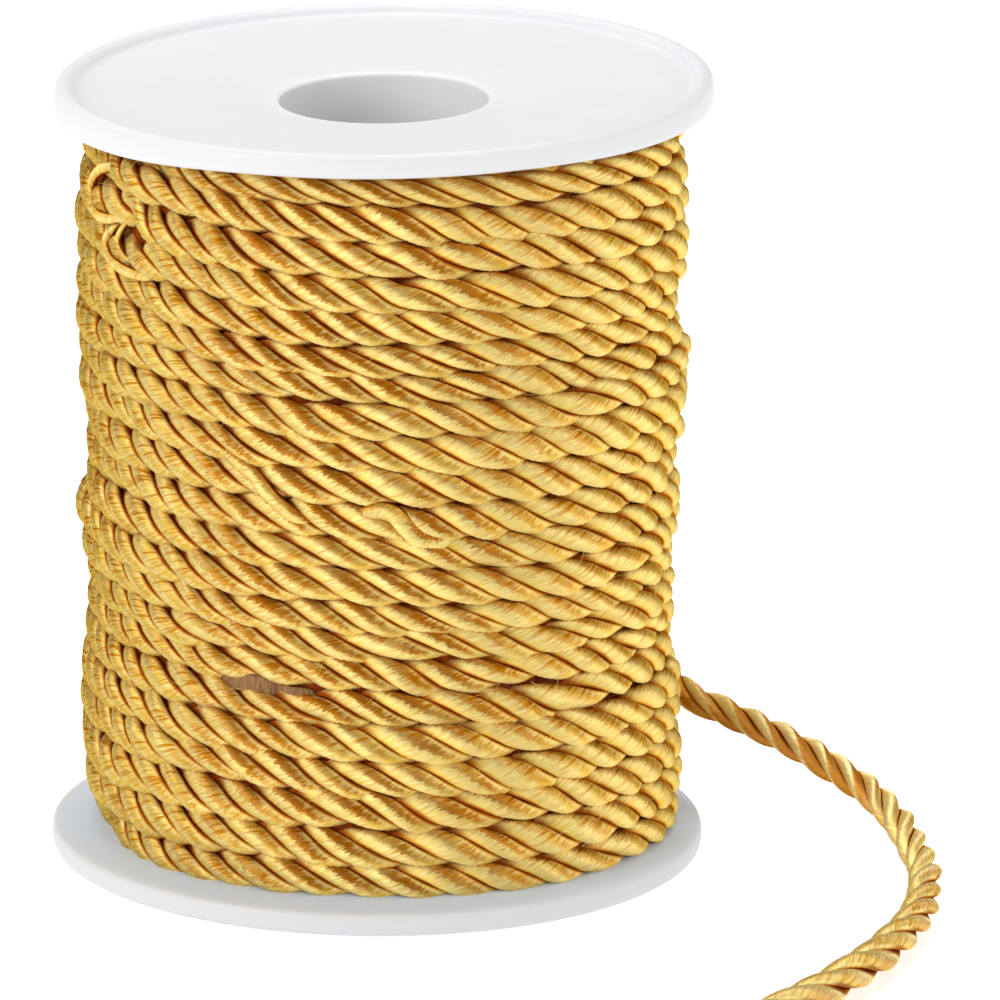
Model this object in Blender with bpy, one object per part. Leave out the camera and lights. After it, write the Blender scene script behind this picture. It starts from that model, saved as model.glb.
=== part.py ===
"""Twisted satin cord trim wound on a moulded spool, with its loose end running forward over the floor.

Metres, +Z up. The spool stands on its lower flange with its axis on z and the front faces -Y.
"""

import math

import bpy
from mathutils import Vector

MM = 0.001

# Spool
HEIGHT = 80.0 * MM
FLANGE_RADIUS = 33.0 * MM
BORE_RADIUS = 10.5 * MM
HUB_RADIUS = 12.5 * MM
SPOOL_STEPS = 48

FACE_DIP = 2.15 * MM
RIM_WIDTH = 2.0 * MM
RIM_HEIGHT = 1.0 * MM
FLANGE_EDGE = 2.5 * MM
FLANGE_ROOT = 4.4 * MM
UPPER_TILT = math.radians(0.8)

# Wound cord
ROWS = 22
WIND_STEPS = 40
WIND_INNER_RADIUS = 12.9 * MM
WIND_BOTTOM = 3.3 * MM
WIND_TOP = 76.2 * MM
WIND_END_RADIUS = 28.4 * MM
END_SLOPE = 0.1
ROW_DEPTH = 1.05 * MM
LOW_ROWS_SHIFT = 0.9 * MM

# Crest radius of each row from the lowest up, in mm: the roll is a little slack in its middle.
ROW_CREST = (
    29.5, 29.7, 29.9, 30.0, 30.1, 29.6, 29.4, 29.4, 29.4, 30.1, 29.8,
    29.7, 30.1, 30.5, 30.5, 30.1, 30.1, 30.2, 30.2, 30.1, 29.9, 29.6,
)

# Loose end: centreline in mm, from where it clears the roll to its bare cut end on the floor.
TAIL_POINTS = (
    (29.7, 12.0, 14.8),
    (31.1, 8.1, 14.0),
    (32.9, 5.6, 13.35),
    (34.8, 3.9, 12.8),
    (38.0, 1.1, 11.9),
    (41.3, -1.0, 10.9),
    (44.5, -3.4, 9.8),
    (47.5, -6.2, 8.6),
    (50.1, -9.4, 7.3),
    (52.2, -13.2, 5.9),
    (53.7, -17.7, 4.5),
    (54.4, -22.8, 3.3),
    (53.9, -28.8, 2.5),
    (52.2, -35.4, 2.2),
    (49.5, -43.3, 2.15),
    (46.1, -50.4, 2.15),
    (42.7, -56.2, 2.15),
    (39.1, -61.5, 2.15),
    (35.0, -67.0, 2.15),
    (30.5, -72.7, 2.15),
    (26.2, -78.2, 2.15),
)
TAIL_START_RADIUS = 1.5 * MM
TAIL_END_RADIUS = 1.95 * MM
TAIL_GROWTH_LENGTH = 90.0 * MM
TAIL_PITCH = 11.7 * MM
TAIL_STEP = 1.9 * MM
TAIL_SIDES = 12
LOBE_DEPTH = 0.14


def clear_scene():
    for item in list(bpy.data.objects):
        bpy.data.objects.remove(item, do_unlink=True)


def make_material(name, colour, roughness):
    material = bpy.data.materials.new(name)
    material.use_nodes = True
    shader = material.node_tree.nodes["Principled BSDF"]
    shader.inputs["Base Color"].default_value = (*colour, 1.0)
    shader.inputs["Roughness"].default_value = roughness
    material.diffuse_color = (*colour, 1.0)
    return material


def make_object(name, points, faces, material):
    mesh = bpy.data.meshes.new(name)
    mesh.from_pydata([tuple(point) for point in points], [], faces)
    mesh.update()
    mesh.shade_smooth()
    mesh.set_sharp_from_angle(angle=math.radians(50.0))
    made = bpy.data.objects.new(name, mesh)
    made.data.materials.append(material)
    bpy.context.scene.collection.objects.link(made)
    return made


def turned(loop, steps, wobble=None):
    """A closed profile of (radius, height), counter-clockwise in the r-z plane, turned about z."""
    points = []
    faces = []
    count = len(loop)
    for step in range(steps):
        angle = 2.0 * math.pi * step / steps
        for index, (radius, height) in enumerate(loop):
            out = radius + (wobble(index, angle) if wobble else 0.0)
            points.append((out * math.cos(angle), out * math.sin(angle), height))
    for step in range(steps):
        after = (step + 1) % steps
        for index in range(count):
            near = (index + 1) % count
            quad = (
                step * count + index,
                after * count + index,
                after * count + near,
                step * count + near,
            )
            faces.append(quad)
    return points, faces


def flange_profile():
    """Half profile above the spool's middle, as radius and depth below the upper rim's crest.

    It runs from the bore up over the dished face and the rim, then back under the flange to the hub.
    """
    return (
        (BORE_RADIUS, FACE_DIP + 0.85 * MM),
        (BORE_RADIUS + 0.15 * MM, FACE_DIP + 0.3 * MM),
        (BORE_RADIUS + 0.7 * MM, FACE_DIP),
        (0.5 * (BORE_RADIUS + FLANGE_RADIUS), 0.5 * (FACE_DIP + RIM_HEIGHT)),
        (FLANGE_RADIUS - RIM_WIDTH, RIM_HEIGHT),
        (FLANGE_RADIUS - 0.82 * RIM_WIDTH, 0.35 * RIM_HEIGHT),
        (FLANGE_RADIUS - 0.6 * RIM_WIDTH, 0.0),
        (FLANGE_RADIUS - 0.35 * RIM_WIDTH, 0.0),
        (FLANGE_RADIUS - 0.1 * RIM_WIDTH, 0.12 * FLANGE_EDGE),
        (FLANGE_RADIUS, 0.36 * FLANGE_EDGE),
        (FLANGE_RADIUS, 0.68 * FLANGE_EDGE),
        (FLANGE_RADIUS - 0.3 * MM, 0.92 * FLANGE_EDGE),
        (FLANGE_RADIUS - 1.0 * MM, FLANGE_EDGE),
        (HUB_RADIUS, FLANGE_ROOT),
    )


def spool_loop():
    upper = [(radius, HEIGHT - depth) for radius, depth in flange_profile()]
    lower = [(radius, HEIGHT - height) for radius, height in upper]
    # Up the outside from the lower hub corner, over the top and down the bore.
    return list(reversed(upper)) + lower


def winding_loop():
    """Inner wall, then the ends, then the ribs of the rows."""
    pitch = (WIND_TOP - WIND_BOTTOM) / ROWS
    loop = [(WIND_INNER_RADIUS, WIND_BOTTOM + END_SLOPE * (WIND_END_RADIUS - WIND_INNER_RADIUS))]
    loop.append((WIND_END_RADIUS - ROW_DEPTH, WIND_BOTTOM))
    for row in range(ROWS):
        crest = ROW_CREST[row] * MM
        foot = WIND_BOTTOM + row * pitch
        loop.append((crest - 0.3 * MM, foot + 0.2 * pitch))
        loop.append((crest, foot + 0.5 * pitch))
        loop.append((crest - 0.3 * MM, foot + 0.8 * pitch))
        if row < ROWS - 1:
            valley = min(crest, ROW_CREST[row + 1] * MM) - ROW_DEPTH
            loop.append((valley, foot + pitch))
    loop.append((WIND_END_RADIUS - ROW_DEPTH, WIND_TOP))
    loop.append((WIND_INNER_RADIUS, WIND_TOP - END_SLOPE * (WIND_END_RADIUS - WIND_INNER_RADIUS)))
    return loop


def uneven(index, angle):
    """How far a point of the winding's loop moves out. Rows bulge and sink a little round the roll.

    The lowest rows have slid towards +X. The inner wall, the first and the last point, stays round.
    """
    if index < 2 or index > 4 * ROWS:
        return 0.0
    row = (index - 2) // 4
    slow = math.sin(2.0 * angle + 1.7 * row) + 0.6 * math.sin(3.0 * angle - 2.3 * row + 1.0)
    return 0.09 * MM * slow + LOW_ROWS_SHIFT * math.exp(-row / 1.5) * math.cos(angle)


def tilt_upper(points):
    """The upper flange is not quite square to the hub: its +X side stands a little higher."""
    tilted = []
    for x, y, z in points:
        share = min(1.0, max(0.0, (z - 0.7 * HEIGHT) / (0.2 * HEIGHT)))
        tilted.append((x, y, z + share * x * math.tan(UPPER_TILT)))
    return tilted


def smooth_path(knots, step):
    """Centripetal Catmull-Rom curve through the knots, sampled at an even step."""
    knots = [Vector(knot) for knot in knots]
    knots = [2.0 * knots[0] - knots[1]] + knots + [2.0 * knots[-1] - knots[-2]]
    dense = []
    for first in range(len(knots) - 3):
        p0, p1, p2, p3 = knots[first:first + 4]
        t1 = (p1 - p0).length ** 0.5
        t2 = t1 + (p2 - p1).length ** 0.5
        t3 = t2 + (p3 - p2).length ** 0.5
        for part in range(24):
            t = t1 + (t2 - t1) * part / 24.0
            a1 = p0 * ((t1 - t) / t1) + p1 * (t / t1)
            a2 = p1 * ((t2 - t) / (t2 - t1)) + p2 * ((t - t1) / (t2 - t1))
            a3 = p2 * ((t3 - t) / (t3 - t2)) + p3 * ((t - t2) / (t3 - t2))
            b1 = a1 * ((t2 - t) / t2) + a2 * (t / t2)
            b2 = a2 * ((t3 - t) / (t3 - t1)) + a3 * ((t - t1) / (t3 - t1))
            dense.append(b1 * ((t2 - t) / (t2 - t1)) + b2 * ((t - t1) / (t2 - t1)))
    dense.append(knots[-2].copy())
    along = [0.0]
    for before, after in zip(dense, dense[1:]):
        along.append(along[-1] + (after - before).length)
    count = max(2, round(along[-1] / step))
    path = []
    place = 0
    for index in range(count + 1):
        wanted = along[-1] * index / count
        while place < len(along) - 2 and along[place + 1] < wanted:
            place += 1
        share = (wanted - along[place]) / (along[place + 1] - along[place])
        path.append(dense[place].lerp(dense[place + 1], min(1.0, max(0.0, share))))
    return path, along[-1]


def twisted_tube(path, length):
    """A tube of three lobes that turn along the path, closed at both ends."""
    points = []
    faces = []
    last = len(path) - 1
    side = Vector((0.0, 0.0, 1.0))
    for index, place in enumerate(path):
        ahead = path[min(last, index + 1)] - path[max(0, index - 1)]
        ahead.normalize()
        side = (side - ahead * side.dot(ahead)).normalized()
        other = ahead.cross(side)
        along = length * index / last
        share = min(1.0, along / TAIL_GROWTH_LENGTH)
        share = share * share * (3.0 - 2.0 * share)
        radius = TAIL_START_RADIUS + (TAIL_END_RADIUS - TAIL_START_RADIUS) * share
        turn = 2.0 * math.pi * along / TAIL_PITCH
        for corner in range(TAIL_SIDES):
            angle = 2.0 * math.pi * corner / TAIL_SIDES
            lobe = 0.5 + 0.5 * math.cos(3.0 * angle)
            out = radius * (1.0 - LOBE_DEPTH * (1.0 - lobe))
            spun = angle + turn
            points.append(place + side * (out * math.cos(spun)) + other * (out * math.sin(spun)))
    for index in range(last):
        for corner in range(TAIL_SIDES):
            near = (corner + 1) % TAIL_SIDES
            quad = (
                index * TAIL_SIDES + corner,
                index * TAIL_SIDES + near,
                (index + 1) * TAIL_SIDES + near,
                (index + 1) * TAIL_SIDES + corner,
            )
            faces.append(quad)
    faces.append(tuple(reversed(range(TAIL_SIDES))))
    faces.append(tuple(last * TAIL_SIDES + corner for corner in range(TAIL_SIDES)))
    return points, faces


clear_scene()

white_plastic = make_material("white_plastic", (0.86, 0.87, 0.88), 0.42)
gold_winding = make_material("gold_satin_winding", (0.78, 0.50, 0.13), 0.45)
gold_tail = make_material("gold_satin_tail", (0.79, 0.50, 0.12), 0.45)

spool_points, spool_faces = turned(spool_loop(), SPOOL_STEPS)
make_object("spool", tilt_upper(spool_points), spool_faces, white_plastic)

wind_points, wind_faces = turned(winding_loop(), WIND_STEPS, uneven)
make_object("cord_winding", wind_points, wind_faces, gold_winding)

tail_path, tail_length = smooth_path([Vector(knot) * MM for knot in TAIL_POINTS], TAIL_STEP)
tail_points, tail_faces = twisted_tube(tail_path, tail_length)
make_object("cord_tail", tail_points, tail_faces, gold_tail)
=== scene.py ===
import math

import bpy
import numpy as np
from mathutils import Matrix, Vector


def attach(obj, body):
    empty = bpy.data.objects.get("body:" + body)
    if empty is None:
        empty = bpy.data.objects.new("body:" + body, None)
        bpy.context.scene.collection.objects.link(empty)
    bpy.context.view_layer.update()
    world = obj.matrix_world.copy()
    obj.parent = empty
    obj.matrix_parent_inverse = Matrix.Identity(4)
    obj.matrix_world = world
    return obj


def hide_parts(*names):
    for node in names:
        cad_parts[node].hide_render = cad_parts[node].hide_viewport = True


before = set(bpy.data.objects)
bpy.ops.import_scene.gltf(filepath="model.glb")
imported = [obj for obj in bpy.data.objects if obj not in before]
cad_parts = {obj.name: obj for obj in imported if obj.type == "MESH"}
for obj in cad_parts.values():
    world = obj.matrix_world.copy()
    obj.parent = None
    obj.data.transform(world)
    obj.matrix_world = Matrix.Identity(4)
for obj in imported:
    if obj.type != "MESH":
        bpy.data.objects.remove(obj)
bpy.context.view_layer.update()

MM = 0.001
TAU = 2.0 * math.pi

# Camera: a long lens 15.5 degrees above the horizon, 1.2 m from the middle of the roll.
# The picture's centre lies AIM_RIGHT and AIM_DOWN of the picture's pixels away from that middle.
ELEVATION = math.radians(15.5)
DISTANCE = 1.2
LENS = 428.4
SENSOR = 36.0
PICTURE_WIDTH = 1000.0
AIM_RIGHT, AIM_DOWN = 120.0, 38.0
MIDDLE = Vector((0.0, 0.0, 0.040))

# Lights that aim at the middle of the roll: name, place, size and power.
LIGHTS = (
    ("key", (-0.75, -0.62, 0.52), (0.7, 0.7), 6.8),
    ("fill", (1.0, -0.30, 0.28), (1.1, 0.7), 4.9),
    ("top", (0.0, 0.25, 0.95), (0.6, 0.5), 4.4),
)
WORLD_LIGHT = 0.55
FLOOR_HALF = 6.0
FLOOR_GLOW = 0.62

# Colours, linear
GOLD = (0.86, 0.57, 0.055)
# The paler tone of the fibres, and also their painted highlight.
GOLD_PALE = (0.93, 0.78, 0.32)
# Painted shade along one side of each ply.
GOLD_BAND_SHADE = (0.44, 0.140, 0.001)
# A deeper tone of the fibres that is also painted shade in the grooves, then painted shade for
# creases, pockets and sunken places.
GOLD_DEEP_AND_SHADE = (0.52, 0.165, 0.003)
GOLD_SHADE = (0.30, 0.052, 0.001)
GOLD_STREAK = (0.58, 0.23, 0.008)
TAIL_GOLD = (0.90, 0.69, 0.18)
# The loose end's paler tone, and also its painted highlight.
TAIL_PALE = (0.94, 0.85, 0.50)
TAIL_STREAK = (0.72, 0.46, 0.08)
# Painted shade for the loose end.
TAIL_SHADE = (0.56, 0.19, 0.004)
# The layer beneath is coloured a near-black red as painted shade in the gaps between rows.
UNDER_SHADE_DARK, UNDER_SHADE_LIGHT = (0.09, 0.011, 0.001), (0.25, 0.042, 0.002)
BARE_DARK, BARE_LIGHT = (0.13, 0.055, 0.014), (0.30, 0.155, 0.050)
WHITE = (0.70, 0.705, 0.72)
WHITE_CLOUD = (0.67, 0.675, 0.695)
# Painted shade on the lower flange and the rims.
WHITE_BELOW_SHADE = (0.58, 0.645, 0.735)
WHITE_RIM_SHADE = (0.64, 0.645, 0.66)
WHITE_RIM_BELOW_SHADE = (0.595, 0.60, 0.61)
# Painted light in the bore.
WHITE_BORE_LIT = (0.72, 0.725, 0.74)
FLOOR_DARK, FLOOR_LIGHT = (0.60, 0.60, 0.60), (0.62, 0.62, 0.62)

# Row centres of the outer layer from the top down, at azimuth ROW_AZIMUTH, in mm.
ROW_HEIGHTS = (
    75.0, 71.7, 68.3, 64.8, 61.4, 58.2, 55.2, 52.1, 48.8, 45.2, 41.6,
    38.2, 34.9, 31.6, 28.6, 25.6, 22.2, 18.7, 15.4, 11.9, 8.0, 4.4,
)
ROW_AZIMUTH = math.radians(18.0)
ROW_CRESTS = (
    29.6, 29.9, 30.1, 30.2, 30.2, 30.1, 30.1, 30.5, 30.5, 30.1, 29.7,
    29.8, 30.1, 29.5, 29.4, 29.4, 29.6, 30.1, 30.0, 29.9, 29.7, 29.5,
)
# How far the roll's outline bulges beyond those on either side: height, left, right, in mm.
BULGES = (
    (2.0, -0.8, 0.7), (6.0, -0.3, 1.1), (10.0, 0.3, 0.9), (16.0, 0.4, 0.2),
    (22.0, 0.4, -0.3), (25.5, 0.1, 0.2), (28.5, -0.2, 0.6), (32.5, 0.3, 0.1),
    (37.0, 0.5, 0.55), (43.0, -0.2, 0.3), (48.0, -0.4, 0.8), (52.0, -0.1, 0.5),
    (56.0, 0.6, -0.3), (60.0, 0.3, 0.2), (64.0, 0.1, 0.9), (68.0, 0.2, 1.0),
    (74.0, 0.1, 0.7), (78.0, 0.0, 0.3),
)
# The outer layer's helix, in turns from the first row, and the radius that sets its steps, in mm.
FIRST_TURN, LAST_TURN = -1.30, 21.75
HELIX_RADIUS = 28.5
# Heights beyond which the layer's ends are squeezed in under the flanges. The upper one leans
# with its flange, at this slope out to this far on either side.
TOP_ROW, BOTTOM_ROW = 75.25, 4.15
ROW_LEAN, ROW_REACH = 0.014, 29.0
# The least and the most room that a row takes up.
ROOM = (2.7, 4.4)
# How strongly the random fields below move the rows, in mm.
BULGE, DENTS, HEAVE, SHUFFLE = 0.16, 0.17, 0.22, 0.26
RANDOM_PARTINGS = 40
# How far the layer beneath lies behind the outer one, and the core behind both: (radius, height).
UNDER_DEPTH = 1.55
CORE_PROFILE = ((13.2, 5.2), (26.4, 4.2), (26.4, 75.6), (13.2, 74.4))
# How thick the stray plies and what lies bare are, as shares of their width.
STRAY_FLATNESS, BARE_FLATNESS = 0.8, 0.35
FIBRE_COUNT = 300
FIBRE_THICK = 0.024
FIBRE_HEIGHTS, FIBRE_LENGTHS, FIBRE_LIFTS = (6.0, 75.0), (1.0, 3.0), (0.10, 0.38)

# The cord: its width, how far it turns about itself once, and how its fibres lie, in mm.
CORD = 3.3
LAY_PITCH = 12.9
# The outer layer's twist is a pitch of this much, and more to the right and in front.
PITCH, PITCH_RIGHT, PITCH_FRONT = 12.7, 2.3, 1.8
# How far a row's section is drawn out over its room, and how much further on the right.
SPREAD, SPREAD_RIGHT = 1.22, 0.03
# How far the edges between plies stray, in radians about the cord's line.
WINDING_UNEVEN, TAIL_UNEVEN = 0.27, 0.16
# The cord's line lies this share of its width behind its crest.
CREST_SHARE = 0.49
FIBRE_SLOPE = math.radians(21.0)
FIBRE_ANGLE = FIBRE_SLOPE + math.atan(math.pi * CORD / LAY_PITCH)
# Half the room between neighbouring plies, in radians about the cord's line.
PLY_GAP = 0.02
# The exponent of the rounded square that a pressed cord's section comes near.
SQUARENESS = 2.3
# A ply's three hidden points near the cord's line: their reach, and their share past its edges.
INNER_REACH = (0.25, 0.05, 0.25)
INNER_SHARE = (1.3, 1.5, 1.7)

# Steps along the meshes' lines, in mm: outer layer, layer beneath, loose end, stray plies.
WINDING_STEP, UNDER_STEP, TAIL_STEP, STRAY_STEP = 0.75, 1.3, 0.5, 0.2
# How many points make up the face of a ply, and the rings of other pieces.
WINDING_ARCS, TAIL_ARCS = 15, 17
UNDER_SIDES, STRAY_SIDES, FIBRE_SIDES = 12, 18, 3
SPOOL_STEPS, CORE_STEPS = 192, 96
KNOT_PARTS = 24
# The first of each kind's seeds for its random unevenness.
WINDING_SEED, TAIL_SEED, STRAY_SEED, BARE_SEED = 100, 300, 500, 600

# Places where two rows have parted, or close up where less than 0:
# azimuth in degrees, height, half width in degrees, opening in mm.
PARTINGS = (
    (3.8, 66.5, 4.5, 0.75),
    (-27.5, 24.3, 6.2, 1.25),
    (-16.5, 23.7, 4.2, 0.8),
    (-55.5, 67.7, 4.2, 2.4),
    (-36.0, 71.1, 10.0, -0.8),
    (-35.0, 20.9, 7.0, -0.8),
)
# Plies that stray over the rows: places (azimuth in degrees, height, lift), and their width.
STRAYS = (
    (
        (
            (-61.5, 73.9, -0.6), (-65.0, 73.8, 0.3), (-69.6, 72.6, 0.65), (-71.6, 70.9, 0.7),
            (-70.4, 69.3, 0.7), (-66.5, 68.6, 0.6), (-61.0, 69.0, 0.2), (-57.5, 69.6, -0.6),
        ),
        1.15,
    ),
    (
        (
            (-61.0, 68.9, -0.4), (-62.2, 67.8, 0.3), (-63.7, 66.4, 0.6), (-62.2, 65.1, 0.6),
            (-58.6, 64.4, 0.45), (-52.9, 64.1, 0.1), (-48.5, 64.3, -0.6),
        ),
        1.15,
    ),
    (
        (
            (-58.4, 69.1, -0.6), (-59.2, 68.1, 0.0), (-60.0, 66.7, 0.1), (-58.0, 65.5, 0.0),
            (-54.2, 64.9, -0.5),
        ),
        0.8,
    ),
    (
        (
            (-32.5, 48.3, -0.6), (-29.0, 47.6, 0.05), (-25.2, 46.5, 0.2), (-21.7, 44.4, 0.25),
            (-17.0, 42.3, 0.1), (-13.0, 41.2, -0.5),
        ),
        1.6,
    ),
    (
        (
            (-6.0, 42.2, -0.6), (-3.0, 42.8, 0.0), (0.0, 43.2, 0.2), (2.6, 42.8, 0.3),
            (4.9, 41.5, 0.3), (7.3, 40.2, 0.2), (10.6, 39.6, 0.05), (14.5, 39.9, -0.5),
        ),
        1.9,
    ),
)
# What lies bare in the widest parting, in the same form.
BARE = (
    (
        (
            (-35.5, 24.6, -1.4), (-31.5, 24.45, -0.9), (-26.5, 24.2, -0.8), (-22.5, 24.0, -0.9),
            (-19.5, 23.8, -1.5),
        ),
        2.0,
    ),
    (((-21.5, 23.9, -1.5), (-18.5, 23.7, -1.0), (-16.0, 23.6, -0.95), (-13.0, 23.4, -1.4)), 1.5),
)

# Loose end: its route in mm, that of the CAD node but for the first four places, up to 0.9 lower.
TAIL_POINTS = (
    (29.7, 12.0, 13.9),
    (31.1, 8.1, 13.5),
    (32.9, 5.6, 13.1),
    (34.8, 3.9, 12.7),
    (38.0, 1.1, 11.9),
    (41.3, -1.0, 10.9),
    (44.5, -3.4, 9.8),
    (47.5, -6.2, 8.6),
    (50.1, -9.4, 7.3),
    (52.2, -13.2, 5.9),
    (53.7, -17.7, 4.5),
    (54.4, -22.8, 3.3),
    (53.9, -28.8, 2.5),
    (52.2, -35.4, 2.2),
    (49.5, -43.3, 2.15),
    (46.1, -50.4, 2.15),
    (42.7, -56.2, 2.15),
    (39.1, -61.5, 2.15),
    (35.0, -67.0, 2.15),
    (30.5, -72.7, 2.15),
    (26.2, -78.2, 2.15),
)
# The loose end's width near the roll, and what it gains on its way to the cut end.
TAIL_WIDTH, TAIL_GAIN = 3.0, 0.85

# Spool: the upper half of its section, as corners of (radius, height, rounding), in mm.
SPOOL_HEIGHT = 80.0
SPOOL_RIM = 33.0
UPPER_PROFILE = (
    (10.5, 77.0, 0.0),
    (10.5, 77.85, 0.75),
    (21.75, 78.42, 6.0),
    (30.95, 78.98, 0.5),
    (31.35, 79.75, 0.35),
    (32.1, 80.1, 0.7),
    (33.0, 79.6, 0.9),
    (33.0, 77.75, 0.7),
    (32.1, 77.45, 0.5),
    (12.5, 75.6, 0.0),
)
# The slope of each flange's lean along x, and how far each stands off the axis, in mm.
UPPER_LEAN, LOWER_LEAN = math.tan(math.radians(0.8)), 0.0045
UPPER_ASIDE, LOWER_ASIDE = 0.4, 0.3
# How much lower the upper rim hangs on the left and on the right, in mm.
SAG_LEFT, SAG_RIGHT = 0.75, 0.45


def smoothstep(x, low, high):
    t = np.clip((x - low) / (high - low), 0.0, 1.0)
    return t * t * (3.0 - 2.0 * t)


def wrap(angle):
    """The same angle between -pi and pi."""
    return (angle + math.pi) % TAU - math.pi


def unit(v):
    return v / np.linalg.norm(v, axis=-1, keepdims=True)


def length_along(line):
    """How far along a line each of its points lies."""
    return np.concatenate([[0.0], np.cumsum(np.linalg.norm(np.diff(line, axis=0), axis=1))])


def field(seed, modes, heights, count):
    """A smooth random field over azimuth (radians) and height (mm), about -1 to 1.

    It sums count waves. modes is how many of them go round the roll, least and most, and
    heights how fast they change with height, in radians per mm.
    """
    rng = np.random.default_rng(seed)
    m = rng.integers(modes[0], modes[1] + 1, count)
    k = rng.uniform(heights[0], heights[1], count) * rng.choice([-1.0, 1.0], count)
    p = rng.uniform(0.0, TAU, count)
    a = rng.uniform(0.6, 1.0, count)
    scale = 1.0 / math.sqrt(float((a * a).sum()) / 2.0) / 1.6

    def value(azimuth, height):
        total = np.zeros_like(azimuth, dtype=float)
        for i in range(count):
            total += a[i] * np.cos(m[i] * azimuth + k[i] * height + p[i])
        return total * scale

    return value


def wander(seed, length, along):
    """Smooth random values, about -1 to 1, along a line, with bumps about length long."""
    rng = np.random.default_rng(seed)
    count = int(np.max(along) / length) + 4
    knots = rng.uniform(-1.0, 1.0, count)
    place = along / length
    low = np.floor(place).astype(int)
    t = smoothstep(place - low, 0.0, 1.0)
    return knots[low] * (1.0 - t) + knots[low + 1] * t


# Pieces


def put_mesh(name, points, quads, caps=(), uv=None, vectors=None, floats=None):
    """A smooth mesh from arrays: quads (n, 4) and caps as tuples of vertices.

    uv holds a pair for each corner of the quads, vectors and floats each attribute's values,
    one for each point.
    """
    mesh = bpy.data.meshes.new(name)
    corners = quads.size + sum(len(cap) for cap in caps)
    mesh.vertices.add(len(points))
    mesh.vertices.foreach_set("co", (points * MM).astype(np.float32).ravel())
    mesh.loops.add(corners)
    flat = [quads.ravel()] + [np.array(cap) for cap in caps]
    mesh.loops.foreach_set("vertex_index", np.concatenate(flat).astype(np.int32))
    mesh.polygons.add(len(quads) + len(caps))
    starts = [np.arange(len(quads)) * 4]
    place = quads.size
    for cap in caps:
        starts.append(np.array([place]))
        place += len(cap)
    mesh.polygons.foreach_set("loop_start", np.concatenate(starts).astype(np.int32))
    mesh.polygons.foreach_set("use_smooth", np.ones(len(quads) + len(caps), bool))
    mesh.update(calc_edges=True)
    if uv is not None:
        layer = mesh.uv_layers.new(name="fibre")
        full = np.zeros((corners, 2), np.float32)
        full[: quads.size] = uv.reshape(-1, 2)
        layer.data.foreach_set("uv", full.ravel())
    for key, data in (vectors or {}).items():
        attribute = mesh.attributes.new(key, "FLOAT_VECTOR", "POINT")
        attribute.data.foreach_set("vector", data.astype(np.float32).ravel())
    for key, data in (floats or {}).items():
        attribute = mesh.attributes.new(key, "FLOAT", "POINT")
        attribute.data.foreach_set("value", data.astype(np.float32).ravel())
    mesh.validate()
    made = bpy.data.objects.new(name, mesh)
    bpy.context.scene.collection.objects.link(made)
    return made


def across_fibres(points):
    """The direction across the fibres, at each point of a ply's rings."""
    ahead = unit(np.gradient(points, axis=0))
    ring = np.roll(points, -1, axis=1) - np.roll(points, 1, axis=1)
    normal = unit(np.cross(ring, ahead))
    ring = np.cross(ahead, normal)
    fibre = ahead * math.cos(FIBRE_ANGLE) - ring * math.sin(FIBRE_ANGLE)
    return np.cross(normal, fibre)


def rings(centre, out, side, first, second, reach):
    """Rings of points about a line, first and second being their shares of out and side."""
    arm = out[:, None] * first[..., None] + side[:, None] * second[..., None]
    return centre[:, None] + arm * reach[..., None]


def turned_grid(along, around, slope):
    """Flat coordinates of a surface, turned so that the second runs along the fibres."""
    first = along * math.sin(slope) + around * math.cos(slope)
    second = along * math.cos(slope) - around * math.sin(slope)
    return np.stack([first, second], axis=-1)


def ply(centre, out, side, low, high, size, squash, loose, arcs, seed):
    """One ply of a cord: a wedge of its section between the angles low and high.

    centre, out and side are the cord's line and its two cross directions, size its diameter,
    squash how much it is pressed along side, all per station. loose is how far from the cord's
    line the ply's own line lies, as a share of the radius: about 0.54 for round plies that just
    touch, less where they are pressed flat on each other. Gives points, fibre coordinates, fibre
    tangents, depth and lie.
    """
    along = length_along(centre)
    radius = 0.5 * size * (
        1.0 + 0.07 * wander(seed, 6.0, along) + 0.03 * wander(seed + 50, 2.4, along)
    )
    # Even steps would leave the grooves' flanks coarse, so they are closer towards the edges.
    share = np.sin(np.linspace(-0.5, 0.5, arcs) * math.pi)
    lean = 0.16 * wander(seed + 90, 9.0, along)[:, None]
    middle, half = 0.5 * (low + high)[:, None], 0.5 * (high - low)[:, None]
    angle = middle + half * share[None]
    turn = (math.pi / 3.0) * (share[None] + lean * (1.0 - share[None] ** 2))
    off = loose[:, None]
    beyond = np.maximum(0.0004, (1.0 - off) ** 2 - (off * np.sin(turn)) ** 2)
    reach = off * np.cos(turn) + np.sqrt(beyond)
    # Pressed against its neighbours, the cord is a little squarer than round.
    corner = np.abs(np.cos(angle)) ** SQUARENESS + np.abs(np.sin(angle)) ** SQUARENESS
    corner = corner ** (-1.0 / SQUARENESS)
    pressed = np.minimum(1.0, 20.0 * np.abs(squash - 1.0))[:, None]
    reach = radius[:, None] * reach * (1.0 + (corner - 1.0) * pressed)
    angle = np.concatenate([angle, high[:, None], middle, low[:, None]], axis=1)
    reach = np.concatenate([reach, radius[:, None] * np.array([INNER_REACH])], axis=1)
    pressed_sine = np.sin(angle) * squash[:, None]
    points = rings(centre, out, side, np.cos(angle), pressed_sine, reach)
    depth = 1.0 - reach / radius[:, None]
    share = np.concatenate([share, INNER_SHARE])
    lie = np.stack([np.zeros_like(angle) + share[None], np.cos(angle), np.sin(angle)], axis=-1)
    around = 0.5 * CORD * (middle + half * share[None])
    around = np.concatenate([around, around[:, -1:]], axis=1)
    grid = turned_grid(along[:, None] + np.zeros_like(around), around, FIBRE_SLOPE)
    return points, grid, across_fibres(points), depth, lie


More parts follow.
